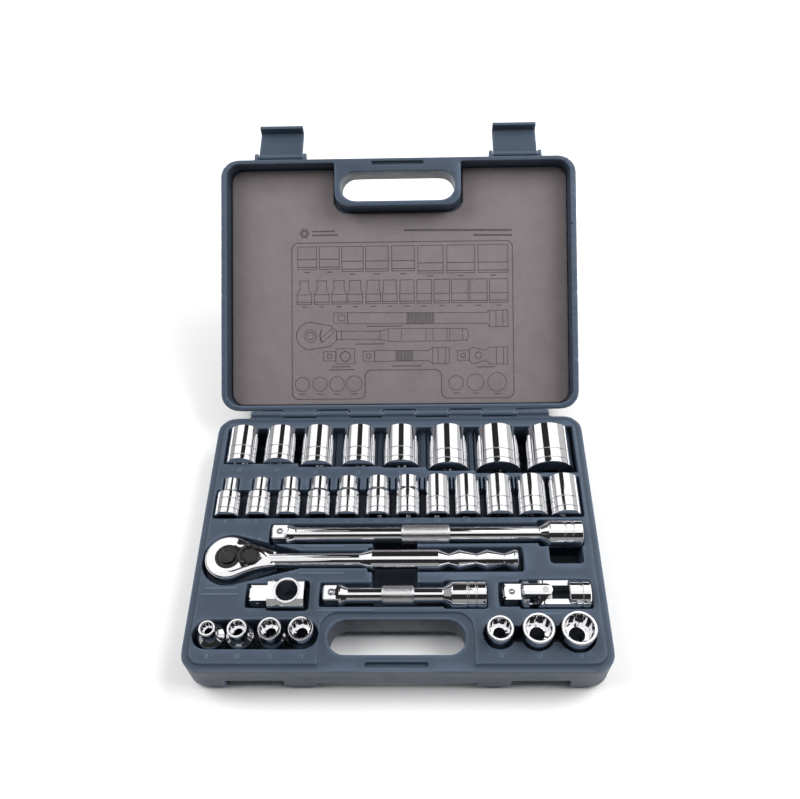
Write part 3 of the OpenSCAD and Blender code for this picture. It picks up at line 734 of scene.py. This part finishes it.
ratchet_body()
reverse_lever()
button = turned_disc(
    "release_button_black",
    [(0, 25.2), (2.4, 25.2), (2.4, 42.6), (6.4, 42.6), (6.4, 47.5), (4.6, 47.5), (4.2, 47.2), (0, 47.2)],
    (HEAD[0], HEAD[1], 0),
    BLACK,
)
stands_for(button, "release_button")
collar = turned_disc(
    "drive_collar",
    [(6.75, 44.85), (10.25, 44.85), (10.25, 45.7), (8.6, 46.0), (8.2, 45.5), (6.75, 45.5)],
    (HEAD[0], HEAD[1], 0),
    BLACK,
)
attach(collar, body_of("drive_gear"))


# ---------------------------------------------------------------- T adapter's bore


TEE_BORE_X = -85


def bore_ring():
    """The turned ring raised round the adapter's bore."""
    low, high = box_mm("tee_adapter")
    top = high[2]
    at = (TEE_BORE_X, (low[1] + high[1]) / 2, 0)
    profile = [(8.55, top - 0.6), (8.55, top + 0.1), (8.8, top + 0.35), (9.3, top + 0.35),
               (9.5, top + 0.1), (9.7, top + 0.1), (9.9, top + 0.35), (10.3, top + 0.35),
               (10.55, top + 0.1), (10.55, top - 0.6)]
    rings = [place(ring(circle_radius(r), z, 96), at, "z") for r, z in profile + profile[:1]]
    verts, faces = loft(rings)
    obj = add_mesh("tee_bore_ring", verts, faces, CHROME)
    bm = bmesh.new()
    bm.from_mesh(obj.data)
    bmesh.ops.remove_doubles(bm, verts=bm.verts, dist=0.001 * MM)
    bm.to_mesh(obj.data)
    bm.free()
    fix_normals(obj)
    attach(obj, "tee_adapter")
    return obj


bore_ring()


# ---------------------------------------------------------------- case


def moulded(node, material, name, voxel=0.9):
    """A CAD node's outer skin with every edge softened, as moulding leaves it."""
    mesh = frame["nodes"][node].data.copy()
    bm = bmesh.new()
    bm.from_mesh(mesh)
    bmesh.ops.remove_doubles(bm, verts=bm.verts, dist=0.002 * MM)
    shells, seen = [], set()
    for start in bm.verts:
        if start in seen:
            continue
        seen.add(start)
        shell, queue = [], [start]
        while queue:
            at = queue.pop()
            shell.append(at)
            for edge in at.link_edges:
                other = edge.other_vert(at)
                if other not in seen:
                    seen.add(other)
                    queue.append(other)
        shells.append(shell)
    width = [max(v.co.x for v in s) - min(v.co.x for v in s) for s in shells]
    outer = shells[width.index(max(width))]
    keep = set(outer)
    bmesh.ops.delete(bm, geom=[v for v in bm.verts if v not in keep], context="VERTS")
    bm.to_mesh(mesh)
    bm.free()
    obj = add_object(name, mesh, material)
    remesh = obj.modifiers.new("skin", "REMESH")
    remesh.mode, remesh.voxel_size, remesh.adaptivity = "VOXEL", voxel * MM, 0.05
    soften = obj.modifiers.new("soften", "SMOOTH")
    soften.factor, soften.iterations = 0.5, 3
    apply_modifiers(obj)
    only_material(obj, material)
    smooth(obj.data, 50)
    return stands_for(obj, node)


moulded("case_base", PLASTIC, "case_base_moulded")
moulded("case_lid", PLASTIC, "case_lid_moulded")
for side in ("left", "right"):
    moulded("latch_" + side, PLASTIC, "latch_" + side + "_moulded", 0.5)
liner = moulded("foam_liner", FOAM, "foam_liner_sheet", 0.9)


# ---------------------------------------------------------------- marks moulded in the tray

PANEL_TOP = 39.8  # height of the tray's face
TRAY_MARKS = [
    *((str(s), x, y) for s, x, y in (
        (20, -138, 59.6), (21, -105, 59.6), (22, -71.5, 56.4), (23, -35, 56.4), (24, 2, 55.2))),
    *((str(s), x, 9.2) for s, x in zip(range(8, 20), (
        -143, -117.5, -92, -67, -42.5, -17, 8, 33, 58, 84.5, 112, 139.5))),
    *((str(s), x, -104.5) for s, x in (
        (8, -142), (10, -119.5), (12, -95), (13, -71.5), (14, 77.5), (17, 106), (19, 136))),
]
TRAY_BARS = [(-139, -50, 24), (-139, -55, 28), (-60, -14, 30), (-60, -37.5, 34), (-40, -68.5, 42),
             (114, -71.5, 22)]


def digits(text, x, y, z, size=4.6, thick=0.35):
    """Raised digits lying flat, their middle at x, y."""
    curve = bpy.data.curves.new("digits", "FONT")
    curve.body, curve.size, curve.extrude = text, size * MM, thick * MM / 2
    curve.align_x, curve.align_y = "CENTER", "CENTER"
    holder = bpy.data.objects.new("digits", curve)
    bpy.context.scene.collection.objects.link(holder)
    graph = bpy.context.evaluated_depsgraph_get()
    graph.update()
    mesh = bpy.data.meshes.new_from_object(holder.evaluated_get(graph))
    mesh.transform(Matrix.Translation(Vector((x, y, z)) * MM))
    bpy.data.objects.remove(holder)
    return add_object("digits", mesh, PLASTIC)


def mark_bar(x, y, z, length, half=0.7):
    """A small raised bar with round ends, lying along X."""
    ends = [(half * math.sin(a), half * math.cos(a)) for a in np.linspace(0, math.pi, 9)]
    outline = [(length / 2 + u, v) for u, v in ends] + [(-length / 2 - u, -v) for u, v in ends]
    rings = [np.array([(x + u * k, y + v * k, z + h) for u, v in outline])
             for k, h in ((1, -0.2), (1, 0.2), (0.985, 0.32))]
    verts, faces = loft(rings, cap_start=True, cap_end=True)
    obj = add_mesh("mark_bar", verts, faces, PLASTIC)
    fix_normals(obj)
    return obj


marks = [digits(text, x, y, PANEL_TOP) for text, x, y in TRAY_MARKS]
marks += [mark_bar(x, y, PANEL_TOP, length) for x, y, length in TRAY_BARS]
tray_marks = join(marks, "tray_marks")
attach(tray_marks, "case_base")


# ---------------------------------------------------------------- print on the foam

FOAM_FACE = 57  # height of the foam's face on the closed lid
INK_T = 0.12


class Print:
    """Flat strokes of ink on the foam, drawn by X and by distance from the hinge."""

    def __init__(self):
        self.verts, self.faces = [], []

    def strip(self, a, b, width):
        a, b = np.array(a, float), np.array(b, float)
        along = (b - a) / max(np.linalg.norm(b - a), 1e-6)
        side = np.array([-along[1], along[0]]) * width / 2
        ends = along * width / 2
        corners = [a - ends - side, b + ends - side, b + ends + side, a - ends + side]
        start = len(self.verts)
        for z in (FOAM_FACE + 0.3, FOAM_FACE - INK_T):
            self.verts += [(x, HINGE[1] - s, z) for x, s in corners]
        sides = [(0, 1, 2, 3), (7, 6, 5, 4), (0, 4, 5, 1), (1, 5, 6, 2), (2, 6, 7, 3), (3, 7, 4, 0)]
        self.faces += [tuple(start + i for i in face) for face in sides]

    def line(self, points, width=0.55, closed=False):
        points = list(points)
        if closed:
            points.append(points[0])
        for a, b in zip(points, points[1:]):
            self.strip(a, b, width)

    def rect(self, x0, s0, x1, s1, width=0.5):
        self.line([(x0, s0), (x1, s0), (x1, s1), (x0, s1)], width, closed=True)

    def circle(self, x, s, r, width=0.5, n=28):
        self.line([(x + r * math.cos(a), s + r * math.sin(a)) for a in angles(n)], width, closed=True)

    def piece(self, name):
        obj = add_mesh(name, lid_to_world(self.verts), self.faces, INK)
        fix_normals(obj)
        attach(obj, "case_lid")
        return obj


def arc(x, s, r, start, end, n=6):
    return [(x + r * math.cos(math.radians(a)), s + r * math.sin(math.radians(a)))
            for a in np.linspace(start, end, n)]


def liner_print():
    """Outlines of every tool in its place, a frame round them, a nut and two plain bars."""
    ink = Print()
    left, right, low, high, r = -100, 105.9, 14.3, 160.6, 6
    notch = (-32, 39, 41)
    frame_line = arc(right - r, high - r, r, 0, 90) + arc(left + r, high - r, r, 90, 180)
    frame_line += arc(left + r, low + r, r, 180, 270) + arc(notch[0] - r, low + r, r, 270, 360)
    frame_line += arc(notch[0] + r, notch[2] - r, r, 180, 90) + arc(notch[1] - r, notch[2] - r, r, 90, 0)
    frame_line += arc(notch[1] + r, low + r, r, 180, 270) + arc(right - r, low + r, r, 270, 360)
    ink.line(frame_line, 0.75, closed=True)
    large = ((-85.6, 17.5), (-64.9, 18.5), (-43.2, 20), (-20.3, 21), (4.1, 21), (29.7, 23.5),
             (57.9, 26), (87.7, 27.5))
    for x, w in large:
        top, bottom = 157, 135.6 if w < 20 else 133.4 if w < 23 else 131
        ink.rect(x - w / 2, bottom, x + w / 2, top, 0.55)
        ink.strip((x - w / 2, bottom + 9.6), (x + w / 2, bottom + 9.6), 0.75)
        ink.strip((x - w / 2, bottom + 2.2), (x + w / 2, bottom + 2.2), 0.75)
        ink.strip((x - 2.2, bottom - 2.6), (x + 2.2, bottom - 2.6), 0.9)
    small = (-88.4, -72.1, -55.9, -40.8, -24, -8.5, 7.6, 23.6, 39.9, 56.7, 74.1, 92.8)
    for i, x in enumerate(small):
        size = 8 + i
        half, neck = max(13.6, 0.8 * size + 1.6) / 2, (0.8 * size + 1.6) / 2
        ink.line([(x - half, 112), (x - half, 103), (x + half, 103), (x + half, 112)], closed=True)
        if half - neck > 0.2:
            ink.line([(x - half, 112), (x - half, 113), (x - neck, 116.5), (x - neck, 125),
                      (x + neck, 125), (x + neck, 116.5), (x + half, 113), (x + half, 112)])
        else:
            ink.line([(x - half, 112), (x - half, 125), (x + half, 125), (x + half, 112)])
        ink.strip((x - half, 105), (x + half, 105), 0.7)
        ink.strip((x - 1.8, 100.4), (x + 1.8, 100.4), 0.8)
    # Long extension
    ink.rect(-61, 85.2, -48, 94.6)
    ink.rect(-57, 87.4, -50.5, 92.4)
    ink.line([(-48, 94.8), (81, 93.6), (84, 95.6), (101, 95.6), (101, 80.4), (84, 80.4), (81, 83.6),
              (-48, 84.4)], closed=True)
    for x in (84, 90, 96.4):
        ink.strip((x, 95.6), (x, 80.4), 0.5)
    for x in np.arange(7.5, 32.5, 1.3):
        ink.strip((x, 83.9), (x, 94), 0.7)
    # Ratchet
    ink.circle(-83, 73.4, 5.8)
    ink.circle(-83, 73.4, 3.4)
    ink.line(arc(-83, 73.4, 12.8, 68, 292, 30) + [(-64, 63.5), (-58.5, 69), (-58.5, 78), (-64, 83)],
             0.7, closed=True)
    ink.line([(-72.5, 79), (-74, 73.5), (-72.5, 67.5)], 1.1)
    ink.line([(-74, 70), (-63, 80), (-61, 76), (-71, 68)], 0.6, closed=True)
    ink.line([(-58.5, 77.6), (-18, 77.2), (-10, 79.4), (38, 79.4), (63, 78.6), (64.4, 73),
              (63, 68), (38, 67.6), (-10, 67.6), (-18, 69.6), (-58.5, 70)], closed=True)
    for x in (-54, -18, -10, 2, 25, 31.5, 44.5, 47, 59):
        ink.strip((x, 78.2), (x, 69), 0.5)
    # T adapter
    ink.rect(-70.8, 50, -59.4, 58.6)
    ink.circle(-65.2, 54.2, 2.2)
    ink.rect(-59, 47, -41.7, 61.2)
    ink.circle(-50.3, 54, 4.6, 0.7)
    # Short extension
    ink.rect(-33.8, 49.4, -23, 58.6)
    ink.circle(-28.6, 54, 2.2)
    ink.line([(-23, 59.4), (27, 58.6), (31, 61.4), (46.4, 61.4), (46.4, 46.4), (31, 46.4), (27, 49.6),
              (-23, 49)], closed=True)
    for x in (31, 36, 43):
        ink.strip((x, 61.4), (x, 46.4), 0.5)
    for x in np.arange(-3.2, 13, 1.3):
        ink.strip((x, 49.3), (x, 59), 0.7)
    # Universal joint
    ink.rect(54, 49.4, 65, 58.6)
    ink.circle(59.4, 54, 2)
    ink.line([(65, 59), (68, 61.4), (80, 58.6), (84, 61.4), (100.2, 61.4), (100.2, 45.6), (84, 45.6),
              (80, 49.4), (68, 45.6), (65, 49)], closed=True)
    ink.circle(73.5, 54, 3)
    for x in (90, 96.6):
        ink.strip((x, 61.4), (x, 45.6), 0.6)
    # Standing sockets
    for x, s, radius in ((-90.6, 28.2, 6.6), (-74.2, 28.2, 6.6), (-58.2, 28.2, 6.9), (-42.3, 28.6, 7.2),
                         (52.5, 28.4, 6.8), (70.5, 28.9, 7.7), (90.4, 29, 8.6)):
        ink.circle(x, s, radius)
        ink.strip((x - 2.4, s - radius - 2.4), (x + 2.4, s - radius - 2.4), 0.8)
    # Short bars where the tools' names would stand
    for x0, x1, s in ((-30, 2, 81.9), (-40, -14, 65.4), (-62, -46, 44.4), (-65, -42, 41.6),
                      (-7, 20, 44.6), (72, 88, 43)):
        ink.strip((x0, s), (x1, s), 0.9)
    # Heading: a nut in a long pointed loop, and two plain bars
    nut = [(-88 + 4.2 * math.cos(a), 169.6 + 4.2 * math.sin(a)) for a in angles(6)]
    ink.line(nut, 0.9, closed=True)
    ink.circle(-88, 169.6, 2.2, 0.8)
    for k, s in enumerate((171.4, 167.8)):
        ink.strip((-80, s), (-60 + 3 * k, s), 1.3)
    ink.strip((6, 171.6), (104.6, 170.4), 1.9)
    ink.strip((70.5, 166.2), (104.8, 165.8), 1.7)
    return ink.piece("liner_print")


liner_print()


# ---------------------------------------------------------------- CAD nodes that stay

SLOT_MATERIALS = {
    "case_plastic": PLASTIC,
    "liner_foam": FOAM,
    "chrome_plate": CHROME,
    "plain_steel": STEEL,
    "black_oxide": BLACK,
}

for subpart in frame["record"]["subparts"]:
    mesh = frame["nodes"][subpart["node"]].data
    mesh.materials.clear()
    mesh.materials.append(SLOT_MATERIALS[subpart["material_slot"]])


# ---------------------------------------------------------------- stage, light and camera

FLOOR_HALF = 6000
floor = add_mesh(
    "floor",
    [(x * FLOOR_HALF, y * FLOOR_HALF, -0.05) for x, y in ((-1, -1), (1, -1), (1, 1), (-1, 1))],
    [(0, 1, 2, 3)],
    floor_material(),
)


def aimed(obj, place_mm, target_mm):
    """Puts a lamp at a place, facing a target."""
    at, target = Vector(place_mm) * MM, Vector(target_mm) * MM
    obj.location = at
    obj.rotation_euler = (target - at).to_track_quat("-Z", "Y").to_euler()
    bpy.context.scene.collection.objects.link(obj)
    return obj


def area_lamp(name, width, depth):
    lamp = bpy.data.lights.new(name, "AREA")
    lamp.shape = "RECTANGLE"
    lamp.size, lamp.size_y = width * MM, depth * MM
    return lamp


def softbox(name, place_mm, target_mm, size_mm, watts):
    """A rectangular softbox facing the target."""
    lamp = area_lamp(name, *size_mm)
    lamp.energy = watts
    return aimed(bpy.data.objects.new(name, lamp), place_mm, target_mm)


def panel(name, x0, x1, y0, y1, z, radiance):
    """A level softbox facing straight down, its edges and height in millimetres."""
    lamp = area_lamp(name, x1 - x0, y1 - y0)
    lamp.energy = radiance * math.pi * lamp.size * lamp.size_y
    obj = bpy.data.objects.new(name, lamp)
    obj.location = Vector(((x0 + x1) / 2, (y0 + y1) / 2, z)) * MM
    bpy.context.scene.collection.objects.link(obj)


def fill(name, place_mm, watts):
    """A broad lamp that lights surfaces but doesn't show in the chrome."""
    softbox(name, place_mm, (0, 60, 0), (1500, 1500), watts).visible_glossy = False


# The gaps between the panels are what the chrome shows as its dark stripes.
SOFTBOX_Z = 740
panel("panel_left", -1065, -265, 100, 1100, SOFTBOX_Z, 1.2)
panel("panel_left_front", -265, -168, 190, 322, SOFTBOX_Z, 1.2)
panel("panel_left_middle", -265, -110, 362, 440, SOFTBOX_Z, 1.2)
panel("panel_left_back", -265, -200, 440, 1100, SOFTBOX_Z, 1.2)
panel("panel_right_front", 100, 1050, 100, 440, SOFTBOX_Z, 1.4)
panel("panel_right_back", 200, 1050, 440, 1100, SOFTBOX_Z, 1.4)
panel("panel_top", -950, 950, -290, 170, SOFTBOX_Z + 120, 1.06)
softbox("softbox_left_side", (-1150, 250, 380), (0, 60, 40), (1400, 620), 1.0)
softbox("softbox_right_side", (1150, 250, 380), (0, 60, 40), (1400, 620), 1.6)
softbox("softbox_front", (0, -1500, 500), (0, 0, 60), (1800, 800), 1.4)
fill("fill_left", (-1500, 300, 1700), 34)
fill("fill_right", (1500, 300, 1700), 46)


def world_light():
    """White behind everything for the camera, and a dim grey studio for light and reflections."""
    world = bpy.data.worlds.new("studio")
    bpy.context.scene.world = world
    world.use_nodes = True
    tree = world.node_tree
    tree.nodes.clear()
    out = tree.nodes.new("ShaderNodeOutputWorld")
    mix = tree.nodes.new("ShaderNodeMixShader")
    seen = tree.nodes.new("ShaderNodeLightPath")
    link = tree.links.new
    for slot_at, grey in ((1, 0.025), (2, 1.0)):
        back = tree.nodes.new("ShaderNodeBackground")
        back.inputs["Color"].default_value = (grey, grey, grey * 1.02, 1)
        back.inputs["Strength"].default_value = 1.0
        link(back.outputs["Background"], mix.inputs[slot_at])
    link(seen.outputs["Is Camera Ray"], mix.inputs["Fac"])
    link(mix.outputs["Shader"], out.inputs["Surface"])


world_light()
bpy.context.scene.view_settings.view_transform = "Standard"

CAMERA_AT = (20.8, -325.1, 649.5)
PITCH, YAW, ROLL = 52.98, -2.52, -2.50  # degrees down, to the right, and about the view
LENS, SENSOR = 37.575, 36


def make_camera():
    """The camera of the picture: over the front edge, looking steeply down."""
    pitch, yaw, roll = (math.radians(a) for a in (PITCH, YAW, ROLL))
    ahead = Vector(
        (math.sin(yaw) * math.cos(pitch), math.cos(yaw) * math.cos(pitch), -math.sin(pitch))
    )
    level = Vector((math.cos(yaw), -math.sin(yaw), 0))
    up = level.cross(ahead)
    right = level * math.cos(roll) + up * math.sin(roll)
    top = up * math.cos(roll) - level * math.sin(roll)
    camera = bpy.data.objects.new("camera", bpy.data.cameras.new("camera"))
    camera.data.lens = LENS
    camera.data.sensor_width = SENSOR
    camera.data.clip_start, camera.data.clip_end = 0.01, 50
    turn = Matrix((right, top, -ahead)).transposed().to_4x4()
    camera.matrix_world = Matrix.Translation(Vector(CAMERA_AT) * MM) @ turn
    bpy.context.scene.collection.objects.link(camera)
    bpy.context.scene.camera = camera


make_camera()
